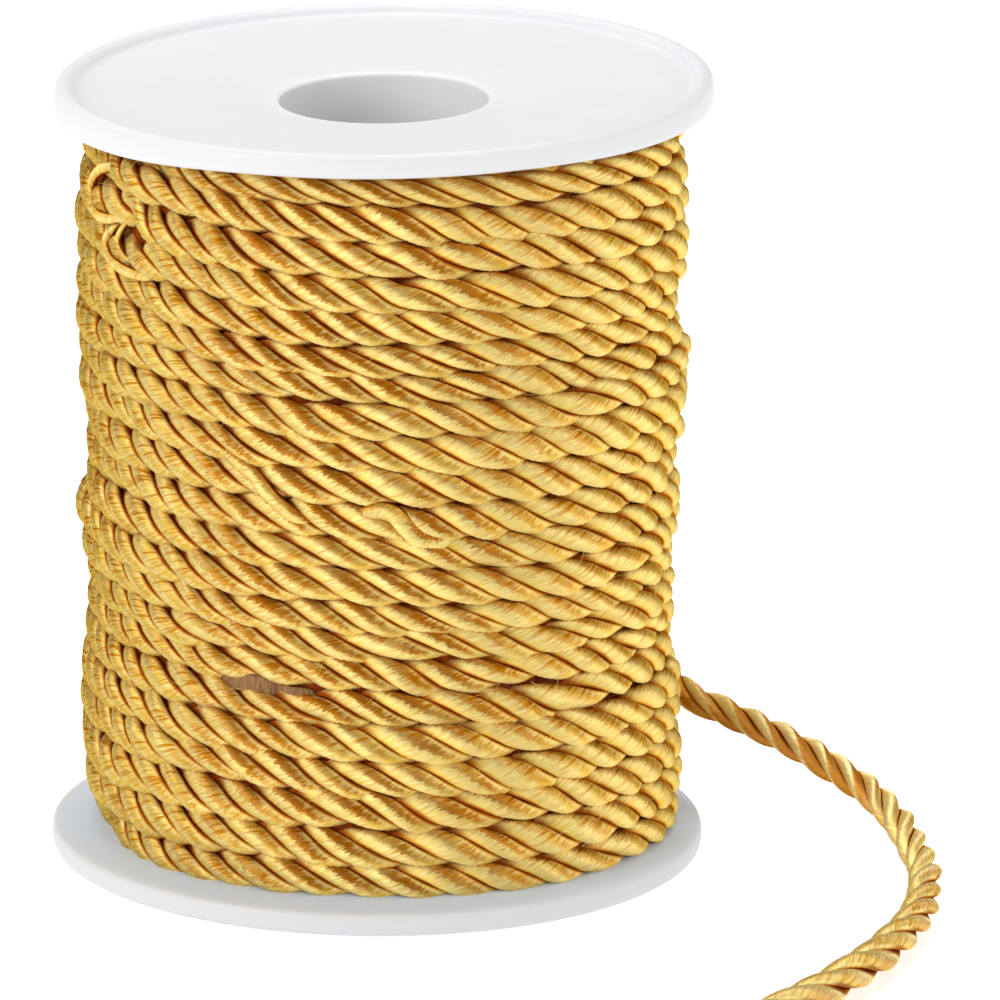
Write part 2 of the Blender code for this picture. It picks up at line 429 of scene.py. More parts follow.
def three_plies(centre, out, side, lay, uneven, size, squash, loose, arcs, seed):
    """A cord's plies one by one, lay being its twist and uneven how far their edges stray."""
    edges = [lay + index * TAU / 3.0 + uneven[index] for index in range(3)]
    edges.append(edges[0] + TAU)
    for index in range(3):
        low, high = edges[index] + PLY_GAP, edges[index + 1] - PLY_GAP
        yield ply(centre, out, side, low, high, size, squash, loose, arcs, seed + index)


def tube_faces(n, m, start):
    index = start + np.arange(n * m).reshape(n, m)
    after = np.roll(index, -1, axis=1)
    quads = np.stack([index[:-1], after[:-1], after[1:], index[1:]], axis=-1).reshape(-1, 4)
    caps = [tuple(index[0][::-1]), tuple(index[-1])]
    return quads, caps


def tube_uv(grid):
    """Corner coordinates in the order of tube_faces' quads, from an (n, m + 1, 2) grid."""
    a = grid[:-1, :-1]
    b = grid[:-1, 1:]
    c = grid[1:, 1:]
    d = grid[1:, :-1]
    return np.stack([a, b, c, d], axis=2)


class Parts:
    """Tubes gathered into one mesh, with or without what the satin needs."""

    def __init__(self):
        self.points, self.quads, self.caps, self.uv = [], [], [], []
        self.vectors, self.floats = {}, {}
        self.count = 0

    def add_tube(self, points, grid=None, across=None, depth=None, lie=None, shade_weight=None):
        quads, caps = tube_faces(*points.shape[:2], self.count)
        self.count += points.shape[0] * points.shape[1]
        self.points.append(points.reshape(-1, 3))
        self.quads.append(quads)
        self.caps += caps
        if grid is not None:
            self.uv.append(tube_uv(grid).reshape(-1, 4, 2))
            for key, data in (("across", across), ("lie", lie)):
                self.vectors.setdefault(key, []).append(data.reshape(-1, 3))
            for key, data in (("depth", depth), ("shade_weight", shade_weight)):
                self.floats.setdefault(key, []).append(data.ravel())

    def mesh(self, name):
        return put_mesh(
            name,
            np.concatenate(self.points),
            np.concatenate(self.quads),
            self.caps,
            uv=np.concatenate(self.uv) if self.uv else None,
            vectors={key: np.concatenate(data) for key, data in self.vectors.items()},
            floats={key: np.concatenate(data) for key, data in self.floats.items()},
        )


# Winding

# Random fields over the roll: its radius (bulge, dents) and its rows' heights (heave, shuffle).
bulge = field(seed=11, modes=(1, 5), heights=(0.02, 0.35), count=9)
heave = field(seed=12, modes=(1, 4), heights=(0.01, 0.22), count=8)
shuffle = field(seed=13, modes=(2, 9), heights=(0.5, 1.1), count=12)
dents = field(seed=14, modes=(5, 16), heights=(0.4, 1.2), count=14)


def bulged(crest, azimuth, height):
    """The roll's radius at these places, with its random bulges and those of its outline."""
    crest = crest + BULGE * bulge(azimuth, height) + DENTS * dents(azimuth, height)
    level, left, right = np.array(BULGES).T
    crest = crest + np.interp(height, level, left) * np.maximum(0.0, -np.sin(azimuth)) ** 3
    return crest + np.interp(height, level, right) * np.maximum(0.0, np.sin(azimuth)) ** 3


def winding_line(step):
    """The outer layer's helix, from under the upper flange down to the lower one."""
    stations = int((LAST_TURN - FIRST_TURN) * TAU * HELIX_RADIUS / step)
    turns = np.linspace(FIRST_TURN, LAST_TURN, stations)
    azimuth = ROW_AZIMUTH + TAU * turns
    rows = np.arange(len(ROW_HEIGHTS))
    # The helix goes on a little way past the first row and the last.
    below = np.concatenate([[-2.0], rows, [22.0]])
    height = np.interp(turns, below, np.concatenate([[81.6], ROW_HEIGHTS, [2.0]]))
    # Rounded steps between rows rather than corners at each one.
    kernel = np.hanning(int(TAU * HELIX_RADIUS * 0.5 / step))
    kernel /= kernel.sum()
    pad = len(kernel) // 2
    behind = len(kernel) - 1 - pad
    wide = np.concatenate([np.full(pad, height[0]), height, np.full(behind, height[-1])])
    height = np.convolve(wide, kernel, mode="valid")
    wrapped = wrap(azimuth)
    # The rows climb towards the upper left.
    left = smoothstep(-wrapped, -0.2, 1.2) * smoothstep(math.pi + wrapped, 0.2, 1.0)
    height = height + 1.25 * left * np.exp(-np.maximum(0.0, 74.0 - height) / 6.5)
    # Near the lower flange they sag on the left.
    sag = smoothstep(-np.sin(azimuth), 0.1, 0.9)
    height = height - 1.0 * sag * np.exp(-np.maximum(0.0, height - 4.0) / 5.0)
    height = height + HEAVE * heave(azimuth, height) + SHUFFLE * shuffle(azimuth, height)
    crest = bulged(np.interp(turns, rows, ROW_CRESTS), azimuth, height)
    # Under the flanges the ends of the layer are squeezed in behind their neighbours.
    top = TOP_ROW + ROW_LEAN * ROW_REACH * np.sin(azimuth)
    over = np.maximum(0.0, height - top)
    height = np.where(over > 0, top + 0.12 * over, height)
    crest = crest - 0.35 * over - 0.12 * np.minimum(over, 3.0) ** 2
    bottom = BOTTOM_ROW + 0.65 * smoothstep(-np.sin(azimuth), 0.74, 0.98)
    under = np.maximum(0.0, bottom - height)
    height = np.where(under > 0, bottom - 0.12 * under, height)
    crest = crest - 0.35 * under - 0.12 * under * under
    return turns, azimuth, height, crest


def on_roll(azimuth, height, radius):
    """The line at these places of the roll, with its outward and side directions."""
    out = np.stack([np.sin(azimuth), -np.cos(azimuth), np.zeros_like(azimuth)], axis=1)
    centre = out * radius[:, None]
    centre[:, 2] = height
    side = unit(np.cross(unit(np.gradient(centre, axis=0)), out))
    return centre, out, side, length_along(centre)


def parted(azimuth, height):
    """How far the rows are pushed up or down where they part, and how near a parting they are."""
    rng = np.random.default_rng(77)
    places = list(PARTINGS)
    for _ in range(RANDOM_PARTINGS):
        turn, middle = rng.uniform(-180, 180), rng.uniform(8, 66)
        wide, opening = rng.uniform(2, 5), rng.uniform(0.2, 0.5)
        places.append((turn, middle, wide, opening))
    wrapped = wrap(azimuth)
    shift, gap = np.zeros_like(height), np.zeros_like(height)
    for turn, middle, wide, opening in places:
        beside = wrap(wrapped - math.radians(turn)) / math.radians(wide)
        off = height - middle
        near = opening * np.exp(-(beside ** 2)) * np.exp(-((off / 3.2) ** 2))
        shift += 0.62 * near * np.tanh(off / 0.6)
        gap += near
    return shift, gap


def winding():
    turns, azimuth, height, crest = winding_line(WINDING_STEP)
    # Each row fills the room between its neighbours.
    above = np.interp(turns - 1.0, turns, height)
    below = np.interp(turns + 1.0, turns, height)
    room = np.clip(0.5 * (above - below), *ROOM)
    ends = (turns < turns[0] + 1.0) | (turns > turns[-1] - 1.0)
    room = np.where(ends, CORD, room)
    shift, gap = parted(azimuth, height)
    radius = crest - CREST_SHARE * CORD - 0.25 * gap
    centre, out, side, along = on_roll(azimuth, height + shift, radius)
    size = np.full_like(room, CORD) * (1.0 + 0.02 * wander(5, 30.0, along))
    spread = SPREAD + SPREAD_RIGHT * smoothstep(np.sin(azimuth), -0.1, 0.6)
    squash = spread * room / CORD - 0.10 * gap
    # The twist is looser in front and on the right of the roll than on its left.
    pitch = PITCH + PITCH_RIGHT * np.sin(azimuth) + PITCH_FRONT * np.cos(azimuth)
    loose = 0.425 - 0.015 * np.sin(azimuth) + 0.02 * wander(9, 25.0, along)
    lay = np.cumsum(TAU / pitch * np.gradient(along))
    lay = lay + 0.9 * wander(7, 60.0, along) + 0.22 * wander(8, 7.0, along)
    uneven = [WINDING_UNEVEN * wander(20 + index, 9.0, along) for index in range(3)]
    plies = three_plies(
        centre, out, side, lay, uneven, size, squash, loose, WINDING_ARCS, WINDING_SEED
    )
    made = []
    for index, (points, grid, across, depth, lie) in enumerate(plies):
        # How far each point lies behind the roll's crest, which sets the painted shade of sunken
        # places.
        shade_weight = (crest[:, None] - np.linalg.norm(points[..., :2], axis=-1)) / CORD
        parts = Parts()
        parts.add_tube(points, grid, across, depth, lie, shade_weight)
        made.append(parts.mesh(f"wound_ply_{index + 1}"))
    return made


def turned(name, profile, steps, shift=None):
    """A body turned about Z from a closed loop of (radius, height), its points moved by shift."""
    profile = np.array(profile)
    angle = np.arange(steps) * TAU / steps
    radius, height = profile[None, :, 0], profile[None, :, 1]
    flat = [radius * np.cos(angle)[:, None], radius * np.sin(angle)[:, None]]
    points = np.stack(flat + [np.broadcast_to(height, (steps, len(profile)))], axis=-1)
    if shift is not None:
        shift(points)
    index = np.arange(steps * len(profile)).reshape(steps, -1)
    after = np.roll(index, -1, axis=0)
    near, near_after = np.roll(index, -1, axis=1), np.roll(after, -1, axis=1)
    quads = np.stack([index, after, near_after, near], axis=-1).reshape(-1, 4)
    return put_mesh(name, points.reshape(-1, 3), quads)


def under_layer():
    """The layer beneath, its rows behind the gaps of the outer ones, and a plain core."""
    _, azimuth, height, crest = winding_line(UNDER_STEP)
    later = int(round(TAU / (azimuth[1] - azimuth[0])))
    height = 0.5 * (height[:-later] + height[later:])
    azimuth = azimuth[:-later]
    crest = 0.5 * (crest[:-later] + crest[later:]) - UNDER_DEPTH
    centre, out, side, along = on_roll(azimuth, height, crest - 0.45 * CORD)
    lay = TAU * along / LAY_PITCH + 0.5 * wander(61, 20.0, along)
    angle = lay[:, None] + np.linspace(0.0, TAU, UNDER_SIDES + 1)[None, :-1]
    lobes = 1.0 - 0.16 * np.abs(np.cos(1.5 * (angle - lay[:, None]))) ** 6.0
    parts = Parts()
    reach = 0.5 * CORD * lobes
    parts.add_tube(rings(centre, out, side, np.cos(angle), np.sin(angle), reach))
    return [parts.mesh("under_cord"), turned("under_core", CORE_PROFILE, CORE_STEPS)]


# Loose end


def smooth_path(knots, step):
    """Centripetal Catmull-Rom curve through the knots, sampled at an even step."""
    knots = [Vector(knot) for knot in knots]
    knots = [2.0 * knots[0] - knots[1]] + knots + [2.0 * knots[-1] - knots[-2]]
    dense = []
    for first in range(len(knots) - 3):
        p0, p1, p2, p3 = knots[first:first + 4]
        t1 = (p1 - p0).length ** 0.5
        t2 = t1 + (p2 - p1).length ** 0.5
        t3 = t2 + (p3 - p2).length ** 0.5
        for part in range(KNOT_PARTS):
            t = t1 + (t2 - t1) * part / KNOT_PARTS
            a1 = p0 * ((t1 - t) / t1) + p1 * (t / t1)
            a2 = p1 * ((t2 - t) / (t2 - t1)) + p2 * ((t - t1) / (t2 - t1))
            a3 = p2 * ((t3 - t) / (t3 - t2)) + p3 * ((t - t2) / (t3 - t2))
            b1 = a1 * ((t2 - t) / t2) + a2 * (t / t2)
            b2 = a2 * ((t3 - t) / (t3 - t1)) + a3 * ((t - t1) / (t3 - t1))
            dense.append(b1 * ((t2 - t) / (t2 - t1)) + b2 * ((t - t1) / (t2 - t1)))
    dense.append(knots[-2].copy())
    dense = np.array([list(p) for p in dense])
    along = length_along(dense)
    even = np.linspace(0.0, along[-1], int(along[-1] / step) + 1)
    return np.stack([np.interp(even, along, dense[:, i]) for i in range(3)], axis=1), even


def loose_end():
    centre, along = smooth_path(TAIL_POINTS, TAIL_STEP)
    ahead = unit(np.gradient(centre, axis=0))
    out = np.zeros_like(centre)
    last = np.array([0.0, 0.0, 1.0])
    for i in range(len(centre)):
        last = last - ahead[i] * (last @ ahead[i])
        last /= np.linalg.norm(last)
        out[i] = last
    side = np.cross(ahead, out)
    share = smoothstep(along, 0.0, 90.0)
    size = TAIL_WIDTH + TAIL_GAIN * share
    squash = np.ones_like(along)
    loose = 0.47 + 0.03 * wander(33, 9.0, along)
    loose = loose + 0.10 * smoothstep(along, along[-1] - 6.0, along[-1])
    # The twist tightens where the cord bends and opens towards the cut end.
    pitch = 12.6 - 2.2 * smoothstep(along, 15.0, 35.0) + 8.5 * smoothstep(along, 46.0, 66.0)
    lay = np.cumsum(TAU / pitch * np.gradient(along)) + 0.3 * wander(31, 12.0, along)
    uneven = [TAIL_UNEVEN * wander(41 + index, 6.0, along) for index in range(3)]
    # Near the roll one side of each ply is painted in shade.
    near = 0.66 * (1.0 - smoothstep(along, 22.0, 48.0)) * (0.75 + 0.35 * wander(34, 4.0, along))
    plies = three_plies(centre, out, side, lay, uneven, size, squash, loose, TAIL_ARCS, TAIL_SEED)
    parts = Parts()
    for points, grid, across, depth, lie in plies:
        shade_weight = near[:, None] * smoothstep(-lie[..., 0], -0.1, 0.35)
        parts.add_tube(points, grid, across, depth, lie, shade_weight)
    return parts.mesh("loose_end"), centre, along


def row_crest(height):
    """The outer layer's mean radius at this height."""
    return np.interp(height, ROW_HEIGHTS[::-1], ROW_CRESTS[::-1])


def stray(route, width, seed, flat=STRAY_FLATNESS):
    """A single ply lying on the roll, through places (azimuth in degrees, height, lift)."""
    knots = []
    for turn, height, lift in route:
        turn = math.radians(turn)
        reach = float(row_crest(height)) - 0.5 * flat * width + lift
        knots.append((reach * math.sin(turn), -reach * math.cos(turn), height))
    centre, along = smooth_path(knots, STRAY_STEP)
    out = unit(centre * np.array([1.0, 1.0, 0.0]))
    side = unit(np.cross(unit(np.gradient(centre, axis=0)), out))
    angle = np.linspace(-math.pi, math.pi, STRAY_SIDES + 1)[None] + np.zeros((len(along), 1))
    taper = np.sqrt(np.maximum(0.04, 1.0 - np.abs(2.0 * along / along[-1] - 1.0) ** 5.0))
    taper = taper * (1.0 + 0.08 * wander(seed, 1.6, along))
    around = 0.5 * width * angle
    grid = turned_grid(along[:, None] + np.zeros_like(around) + 7.0 * seed, around, FIBRE_ANGLE)
    angle = angle[:, :-1]
    reach = (0.5 * width * taper)[:, None]
    points = rings(centre, out, side, flat * np.cos(angle), np.sin(angle), reach)
    depth = np.clip(0.46 * (1.0 - np.cos(angle)), 0.0, 0.6)
    lie = np.stack([0.7 * np.sin(angle) + 0.1, np.cos(angle), np.zeros_like(angle) + 0.2], axis=-1)
    return points, grid, across_fibres(points), depth, lie


def strays():
    """The few plies that have come loose from the rows, in one piece."""
    parts = Parts()
    for index, (route, width) in enumerate(STRAYS):
        points, grid, across, depth, lie = stray(route, width, STRAY_SEED + index)
        # Their sides are painted in shade.
        parts.add_tube(points, grid, across, depth, lie, np.maximum(0.0, 0.6 * depth - 0.1))
    return parts.mesh("stray_plies")


def bare_patch():
    """What lies bare where the rows have parted furthest."""
    parts = Parts()
    for index, (route, width) in enumerate(BARE):
        parts.add_tube(stray(route, width, BARE_SEED + index, BARE_FLATNESS)[0])
    return parts.mesh("bare_patch")


def fibres():
    """Single fibres that stand off the roll, each a short thin arc."""
    rng = np.random.default_rng(91)
    parts = Parts()
    t = np.linspace(0.0, 1.0, 8)
    angle = np.arange(FIBRE_SIDES)[None] * TAU / FIBRE_SIDES
    for _ in range(FIBRE_COUNT):
        azimuth, height = rng.uniform(-math.pi, math.pi), rng.uniform(*FIBRE_HEIGHTS)
        length, slope = rng.uniform(*FIBRE_LENGTHS), rng.uniform(-0.5, 1.1)
        lift, bend = rng.uniform(*FIBRE_LIFTS), rng.uniform(-0.5, 0.5)
        free = rng.uniform() < 0.5
        along = length * (t - 0.5)
        turn = azimuth + along * math.cos(slope) / 30.0
        level = height + along * math.sin(slope) + bend * np.sin(math.pi * t)
        level = np.clip(level, 4.0, 76.0)
        crest = bulged(row_crest(level), turn, level)
        rise = lift * (t ** 1.5 if free else np.sin(math.pi * t)) - 0.12
        centre, out, side, _ = on_roll(turn, level, crest + rise)
        thick = FIBRE_THICK * (1.0 - 0.5 * t)[:, None]
        parts.add_tube(rings(centre, out, side, np.cos(angle), np.sin(angle), thick))
    return parts.mesh("stray_fibres")


# Spool


def rounded(corners):
    """A profile of (radius, height, rounding) corners, each rounded by a short arc."""
    made = []
    for i, (x, y, rounding) in enumerate(corners):
        before = Vector(corners[i - 1][:2])
        here = Vector((x, y))
        after = Vector(corners[(i + 1) % len(corners)][:2])
        if not rounding:
            made.append(here)
            continue
        back = (before - here).normalized()
        on = (after - here).normalized()
        a = here + back * min(rounding, 0.49 * (before - here).length)
        b = here + on * min(rounding, 0.49 * (after - here).length)
        for t in (0.0, 0.2, 0.4, 0.6, 0.8, 1.0):
            made.append(a * (1 - t) ** 2 + here * 2 * t * (1 - t) + b * t * t)
    return made


def stand_askew(points):
    """Leans the flanges, parts their axes, and lets the upper rim sag at the sides."""
    x, z = points[..., 0], points[..., 2]
    upper = np.clip((z - 56.0) / 16.0, 0.0, 1.0)
    lower = np.clip((24.0 - z) / 16.0, 0.0, 1.0)
    reach = np.linalg.norm(points[..., :2], axis=-1)
    sag = smoothstep(np.abs(x), 12.0, 32.0) * np.where(x < 0, SAG_LEFT, SAG_RIGHT)
    sag = sag * smoothstep(reach, 29.5, 32.2) * smoothstep(79.8 - z, 0.0, 2.0)
    z -= sag * (upper > 0.5)
    z += upper * x * UPPER_LEAN + LOWER_LEAN * lower * (SPOOL_RIM - x)
    x += UPPER_ASIDE * upper - LOWER_ASIDE * lower


def spool():
    """Turned spool: dished faces, raised rounded rims, hub and a bore right through."""
    lower = [(x, SPOOL_HEIGHT - y, rounding) for x, y, rounding in UPPER_PROFILE]
    loop = rounded(list(reversed(UPPER_PROFILE)) + lower)
    return turned("moulded_spool", [(p.x, p.y) for p in loop], SPOOL_STEPS, stand_askew)


# Materials


class Nodes:
    """Short forms for building a material's nodes."""

    def __init__(self, name):
        self.material = bpy.data.materials.new(name)
        self.material.use_nodes = True
        self.tree = self.material.node_tree
        self.shader = self.tree.nodes["Principled BSDF"]

    def add(self, kind, **values):
        node = self.tree.nodes.new(kind)
        for key, value in values.items():
            setattr(node, key, value)
        return node

    def put(self, socket, value):
        if isinstance(value, bpy.types.NodeSocket):
            self.tree.links.new(value, socket)
        else:
            socket.default_value = value

    def set(self, name, value):
        """Sets the shader's own socket, or links it where value is another node's socket."""
        self.put(self.shader.inputs[name], value)

    def place(self):
        return self.add("ShaderNodeNewGeometry").outputs["Position"]

    def stored(self, name, output):
        """A value that is stored on the mesh's points."""
        return self.add("ShaderNodeAttribute", attribute_name=name).outputs[output]

    def split(self, vector):
        node = self.add("ShaderNodeSeparateXYZ")
        self.put(node.inputs[0], vector)
        return node.outputs

    def maths(self, operation, a, b=0.0):
        node = self.add("ShaderNodeMath", operation=operation)
        for socket, value in zip(node.inputs, (a, b)):
            self.put(socket, value)
        return node.outputs[0]

    def times(self, a, b):
        return self.maths("MULTIPLY", a, b)

    def plus(self, a, b):
        return self.maths("ADD", a, b)

    def minus(self, a, b):
        return self.maths("SUBTRACT", a, b)

    def range(self, value, low, high, to_low=0.0, to_high=1.0):
        node = self.add("ShaderNodeMapRange", interpolation_type="SMOOTHSTEP")
        for socket, item in zip(node.inputs, (value, low, high, to_low, to_high)):
            self.put(socket, item)
        return node.outputs[0]

    def mix(self, share, a, b):
        node = self.add("ShaderNodeMix", data_type="RGBA", blend_type="MIX")
        self.put(node.inputs[0], share)
        self.put(node.inputs[6], a)
        self.put(node.inputs[7], b)
        return node.outputs[2]

    def noise(self, vector, scale, detail, roughness):
        node = self.add("ShaderNodeTexNoise")
        self.put(node.inputs["Vector"], vector)
        self.put(node.inputs["Scale"], scale)
        self.put(node.inputs["Detail"], detail)
        self.put(node.inputs["Roughness"], roughness)
        return node.outputs[0]

    def bump(self, height, distance, strength, normal=None):
        node = self.add("ShaderNodeBump")
        self.put(node.inputs["Strength"], strength)
        self.put(node.inputs["Distance"], distance)
        self.put(node.inputs["Height"], height)
        if normal is not None:
            self.put(node.inputs["Normal"], normal)
        return node.outputs[0]


def four(colour):
    return (*colour, 1.0)


def satin(
    name,
    open_by=0.0,
    gold=GOLD,
    pale_gold=GOLD_PALE,
    streak=GOLD_STREAK,
    hidden=GOLD_SHADE,
    share=0.6,
):
    """Satin fibres.

    open_by is how much deeper the grooves between the plies are than on the roll, streak the
    colour of the fine streaks, and hidden the colour of the painted shade in sunken places, laid
    on by share.
    """
    n = Nodes(name)
    parts = n.split(n.add("ShaderNodeUVMap", uv_map="fibre").outputs[0])

    def streaks(across, along, detail):
        joined = n.add("ShaderNodeCombineXYZ")
        n.put(joined.inputs[0], n.times(parts[0], across))
        n.put(joined.inputs[1], n.times(parts[1], along))
        return n.noise(joined.outputs[0], 1.0, detail, 0.6)

    broad = streaks(1.7, 0.12, 1.0)
    strand = streaks(5.2, 0.16, 2.0)
    hair = streaks(11.0, 0.5, 2.0)
    comb = streaks(3.4, 0.22, 1.0)
    depth, shade_weight = n.stored("depth", "Fac"), n.stored("shade_weight", "Fac")
    # Where on its ply a point lies, from one edge to the other, and how far up on the cord.
    over, _, upward = n.split(n.stored("lie", "Vector"))
    place = n.place()
    patch = n.noise(place, 150.0, 1.0, 0.5)

    # A band of painted shade runs along one side of each ply, where its fibres turn away from the
    # light, with a ragged edge.
    ragged = n.times(n.minus(comb, 0.5), 0.9)
    ragged = n.plus(ragged, n.times(n.minus(broad, 0.5), 0.4))
    ragged = n.plus(ragged, n.times(n.minus(hair, 0.5), 0.9))
    shifted = n.plus(over, ragged)
    # The painted shade band is widest at the top of the row and thins out on the way down.
    tapered = n.plus(shifted, n.times(upward, 0.42))
    shade_band = n.times(n.range(tapered, -0.02, -0.22), n.range(over, -0.80, -0.68))
    high_up = n.range(upward, 0.95, 0.40)
    uneven = n.range(patch, 0.30, 0.60, 0.45, 1.0)
    shade_band = n.times(shade_band, n.times(high_up, uneven))
    # The painted shade is strongest in the middle of the roll's front, and weakest on its left.
    x = n.split(place)[0]
    shade_band = n.times(shade_band, n.range(x, 0.020, 0.008, 0.55, 1.0))
    shade_band = n.times(shade_band, n.range(x, -0.023, -0.012, 0.30, 1.0))
    # A painted highlight: a thin pale strip along the edge of each ply, beyond the band of painted
    # shade.
    highlight_strip = n.times(n.range(shifted, -0.55, -0.80), n.range(over, -0.94, -0.88))
    # Painted shade in the grooves and creases between the plies, and in the pockets at the top of
    # each row.
    groove_shade = n.range(depth, 0.19 + open_by, 0.30 + open_by)
    crease_shade = n.range(depth, 0.25 + open_by, 0.34 + open_by)
    pocket_shade = n.times(n.range(upward, -0.45, -0.95), n.range(depth, 0.10, 0.26))
    # Painted shade where the stored weight says so: on places sunk behind the rows' crests, and
    # along the sides of loose plies.
    behind = n.range(shade_weight, 0.22, 0.50)
    # Each ply is painted paler across its middle as a painted highlight, on top of the paler tone
    # of its own streaks.
    body = n.range(n.maths("ABSOLUTE", n.minus(over, 0.22)), 0.75, 0.20)
    pale_and_highlight = n.times(n.range(strand, 0.32, 0.62), 0.55)
    pale_and_highlight = n.plus(pale_and_highlight, n.times(body, 0.5))
    colour = n.mix(n.maths("MINIMUM", pale_and_highlight, 1.0), four(gold), four(pale_gold))
    colour = n.mix(n.times(n.range(broad, 0.45, 0.8), 0.2), colour, four(GOLD_DEEP_AND_SHADE))
    # The fibres' own darker streaks, laid on more strongly on the shaded side and the upper part of
    # each ply as painted shade.
    fine = n.plus(n.times(comb, 0.6), n.times(strand, 0.4))
    fine = n.times(n.range(fine, 0.51, 0.58), n.range(over, 0.75, -0.30, 0.20, 1.0))
    fine = n.times(fine, n.range(upward, 0.6, -0.3, 0.35, 1.0))
    colour = n.mix(fine, colour, four(streak))
    colour = n.mix(n.times(shade_band, 0.92), colour, four(GOLD_BAND_SHADE))
    colour = n.mix(n.times(highlight_strip, 0.5), colour, four(GOLD_PALE))
    colour = n.mix(n.times(groove_shade, 0.85), colour, four(GOLD_DEEP_AND_SHADE))
    colour = n.mix(n.times(crease_shade, 0.9), colour, four(GOLD_SHADE))
    colour = n.mix(n.times(pocket_shade, 0.85), colour, four(GOLD_SHADE))
    colour = n.mix(n.times(behind, share), colour, four(hidden))
    n.set("Base Color", colour)
    dark = n.maths("MAXIMUM", n.maths("MAXIMUM", groove_shade, behind), n.maths("MAXIMUM", shade_band, pocket_shade))
    n.set("Metallic", n.range(dark, 0.0, 1.0, 0.8, 1.0))
    n.set("Roughness", n.range(hair, 0.2, 0.8, 0.47, 0.59))
    n.set("Anisotropic", 0.9)
    n.set("Specular IOR Level", 0.2)
    n.set("Specular Tint", (1.0, 0.70, 0.12, 1.0))
    n.set("Tangent", n.stored("across", "Vector"))
    first = n.bump(strand, 0.00022, 1.0)
    n.set("Normal", n.bump(hair, 0.00009, 1.0, first))
    return n.material


def grainy(name, scale, dark, light, roughness, bump, specular=0.5):
    """Dull matter with a grain drawn out along the height. bump is its distance and strength."""
    n = Nodes(name)
    streak = n.add("ShaderNodeMapping")
    n.put(streak.inputs["Vector"], n.place())
    streak.inputs["Scale"].default_value = scale
    grain = n.noise(streak.outputs[0], 1.0, 3.0, 0.6)
    n.set("Base Color", n.mix(n.range(grain, 0.3, 0.7), four(dark), four(light)))
    n.set("Roughness", roughness)
    n.set("Specular IOR Level", specular)
    n.set("Normal", n.bump(grain, *bump))
    return n.material


# Painted shade: the same cord as the outer layer, coloured dark to stand for the shade in the gaps.
def under_satin_shade():
    return grainy(
        "under_satin_shade",
        scale=(900.0, 900.0, 300.0),
        dark=UNDER_SHADE_DARK,
        light=UNDER_SHADE_LIGHT,
        roughness=0.6,
        bump=(0.0002, 0.8),
        specular=0.05,
    )


def fibre_satin():
    n = Nodes("fibre_satin")
    place = n.place()
    tone = n.range(n.noise(place, 700.0, 1.0, 0.5), 0.3, 0.7)
    n.set("Base Color", n.mix(tone, four(GOLD), four(GOLD_PALE)))
    n.set("Metallic", 0.5)
    n.set("Roughness", 0.45)
    return n.material


def dull_core():
    return grainy(
        "dull_core",
        scale=(3500.0, 3500.0, 500.0),
        dark=BARE_DARK,
        light=BARE_LIGHT,
        roughness=0.8,
        bump=(0.0001, 0.6),
    )


def plastic():
    n = Nodes("moulded_plastic")
    place = n.place()
    cloud = n.noise(place, 60.0, 3.0, 0.5)
    fine = n.noise(place, 900.0, 2.0, 0.5)
    tint = n.mix(n.range(cloud, 0.3, 0.7), four(WHITE), four(WHITE_CLOUD))
    # The rims are painted a little greyer as painted shade, and the lower flange darker and colder
    # as painted shade against the cord's warm bounce light.
    height = n.split(place)[2]
    flat = n.add("ShaderNodeVectorMath", operation="MULTIPLY")
    n.put(flat.inputs[0], place)
    flat.inputs[1].default_value = (1.0, 1.0, 0.0)
    length = n.add("ShaderNodeVectorMath", operation="LENGTH")
    n.put(length.inputs[0], flat.outputs[0])
    radius = length.outputs["Value"]
    rim = n.range(radius, 0.0318, 0.0328)
    low = n.range(height, 0.0060, 0.0050)
    tint = n.mix(low, tint, four(WHITE_BELOW_SHADE))
    edge = n.mix(low, four(WHITE_RIM_SHADE), four(WHITE_RIM_BELOW_SHADE))
    tint = n.mix(rim, tint, edge)
    # The bore is painted lighter, as painted bounce light.
    tint = n.mix(n.range(radius, 0.0125, 0.0108), tint, four(WHITE_BORE_LIT))
    n.set("Base Color", tint)
    n.set("Roughness", n.range(cloud, 0.3, 0.7, 0.42, 0.54))
    n.set("Specular IOR Level", 0.32)
    n.set("Normal", n.bump(fine, 0.00002, 0.25, n.bump(cloud, 0.0002, 0.3)))
    return n.material


def floor_material():
    n = Nodes("pale_floor")
    place = n.place()
    tone = n.range(n.noise(place, 4.0, 2.0, 0.5), 0.3, 0.7)
    tone = n.mix(tone, four(FLOOR_DARK), four(FLOOR_LIGHT))
    n.set("Base Color", tone)
    n.set("Roughness", 0.9)
    n.set("Specular IOR Level", 0.0)
    n.set("Emission Color", (1.0, 1.0, 1.0, 1.0))
    n.set("Emission Strength", FLOOR_GLOW)
    return n.material


# Stage


def area_light(name, place, size, power):
    data = bpy.data.lights.new(name, "AREA")
    data.shape = "RECTANGLE"
    data.size, data.size_y = size
    data.energy = power
    lamp = bpy.data.objects.new(name, data)
    lamp.location = place
    aim = MIDDLE - Vector(place)
    lamp.rotation_euler = aim.to_track_quat("-Z", "Y").to_euler()
    bpy.context.scene.collection.objects.link(lamp)


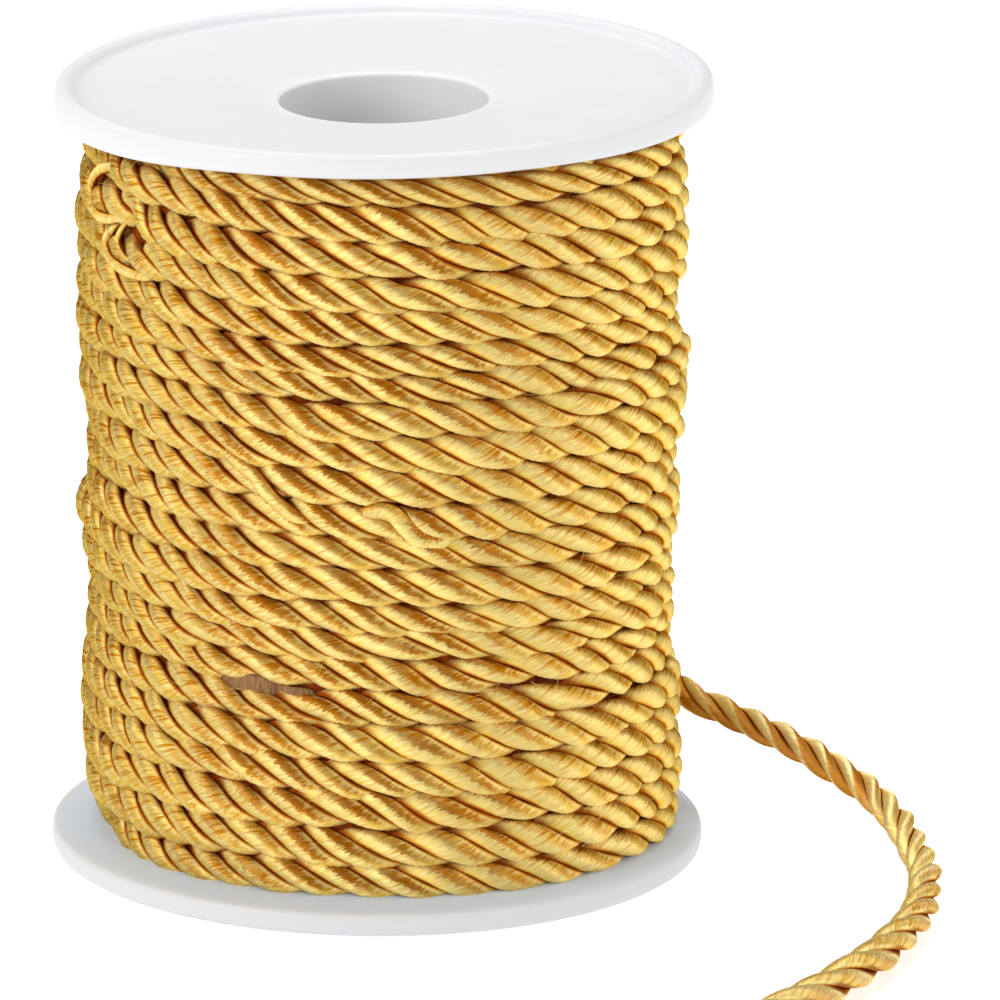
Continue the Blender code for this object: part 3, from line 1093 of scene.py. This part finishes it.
def stage():
    mesh = bpy.data.meshes.new("floor")
    corners = [(x * FLOOR_HALF, y * FLOOR_HALF, 0) for x, y in ((-1, -1), (1, -1), (1, 1), (-1, 1))]
    mesh.from_pydata(corners, [], [(0, 1, 2, 3)])
    floor = bpy.data.objects.new("floor", mesh)
    floor.data.materials.append(floor_material())
    bpy.context.scene.collection.objects.link(floor)
    world = bpy.data.worlds.new("studio")
    world.use_nodes = True
    background = world.node_tree.nodes["Background"]
    background.inputs["Color"].default_value = (1.0, 1.0, 1.0, 1.0)
    background.inputs["Strength"].default_value = WORLD_LIGHT
    bpy.context.scene.world = world
    for light in LIGHTS:
        area_light(*light)


def camera():
    data = bpy.data.cameras.new("camera")
    data.lens = LENS
    data.sensor_width = SENSOR
    data.clip_start = 0.05
    data.clip_end = 50.0
    made = bpy.data.objects.new("camera", data)
    back = Vector((0.0, -math.cos(ELEVATION), math.sin(ELEVATION)))
    up = Vector((0.0, math.sin(ELEVATION), math.cos(ELEVATION)))
    right = Vector((1.0, 0.0, 0.0))
    made.location = MIDDLE + back * DISTANCE
    per_pixel = DISTANCE * SENSOR / LENS / PICTURE_WIDTH
    aim = MIDDLE + right * (AIM_RIGHT * per_pixel) - up * (AIM_DOWN * per_pixel)
    ahead = (aim - made.location).normalized()
    across = ahead.cross(up).normalized()
    over = across.cross(ahead)
    made.matrix_world = Matrix(
        (
            (across.x, over.x, -ahead.x, made.location.x),
            (across.y, over.y, -ahead.y, made.location.y),
            (across.z, over.z, -ahead.z, made.location.z),
            (0.0, 0.0, 0.0, 1.0),
        )
    )
    bpy.context.scene.collection.objects.link(made)
    bpy.context.scene.camera = made


camera()
stage()
bpy.context.scene.view_settings.view_transform = "Standard"
bpy.context.scene.view_settings.look = "None"

wound_satin = satin("wound_satin")
tail_satin = satin(
    "tail_satin",
    open_by=0.11,
    gold=TAIL_GOLD,
    pale_gold=TAIL_PALE,
    streak=TAIL_STREAK,
    hidden=TAIL_SHADE,
    share=0.85,
)

inner_satin_shade = under_satin_shade()
dressing = [(piece, wound_satin) for piece in winding()]
dressing += [(strays(), wound_satin), (fibres(), fibre_satin()), (bare_patch(), dull_core())]
dressing += [(piece, inner_satin_shade) for piece in under_layer()]
for piece, material in dressing:
    piece.data.materials.append(material)
    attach(piece, "root")
    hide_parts("cord_winding")

body = spool()
body.data.materials.append(plastic())
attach(body, "root")
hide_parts("spool")

tail, tail_line, tail_along = loose_end()
tail.data.materials.append(tail_satin)
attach(tail, "root")
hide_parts("cord_tail")
[x * MM for x in TAIL_POINTS[0]]
